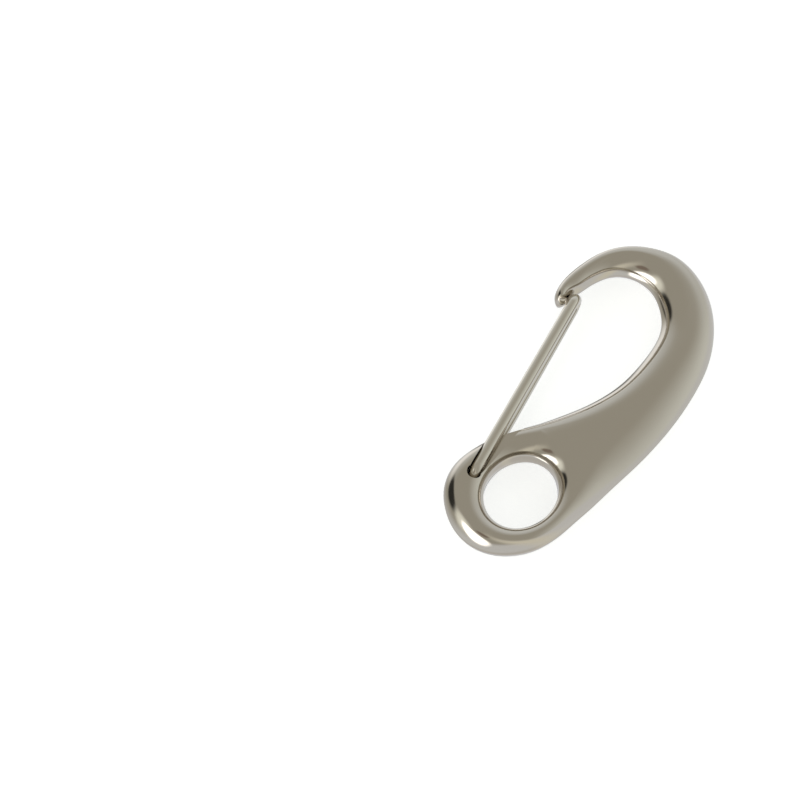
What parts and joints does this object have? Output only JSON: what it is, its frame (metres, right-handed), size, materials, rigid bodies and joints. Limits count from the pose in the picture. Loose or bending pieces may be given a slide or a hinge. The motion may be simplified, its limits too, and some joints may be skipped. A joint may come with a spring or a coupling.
{
  "type": "wire-gate snap hook",
  "caption": "Cast steel snap hook with an oval eye and a bent wire gate that swings in from the nose and springs shut.",
  "frame": {"origin": "centre of the bounding box, on the plane the hook lies on", "axes": "+X along the hook from the eye to the bow, +Y across it towards the gate, +Z through its thickness"},
  "size_m": [0.1, 0.0462, 0.011],
  "materials": {
    "cast_steel": "polished",
    "spring_wire": "polished"
  },
  "bodies": {
    "hook": {"hook_body": "cast_steel"},
    "gate": {"wire_gate": "spring_wire"}
  },
  "joints": [
    {"name": "gate_hinge", "type": "hinge", "parent": "hook", "child": "gate", "pos_m": [-0.03453, 0.01141, 0.0055], "axis": [0, 0, -1], "range_deg": [0, 11.75], "stiffness_Nm_per_rad": 0.84, "springref_deg": -8.02}
  ]
}
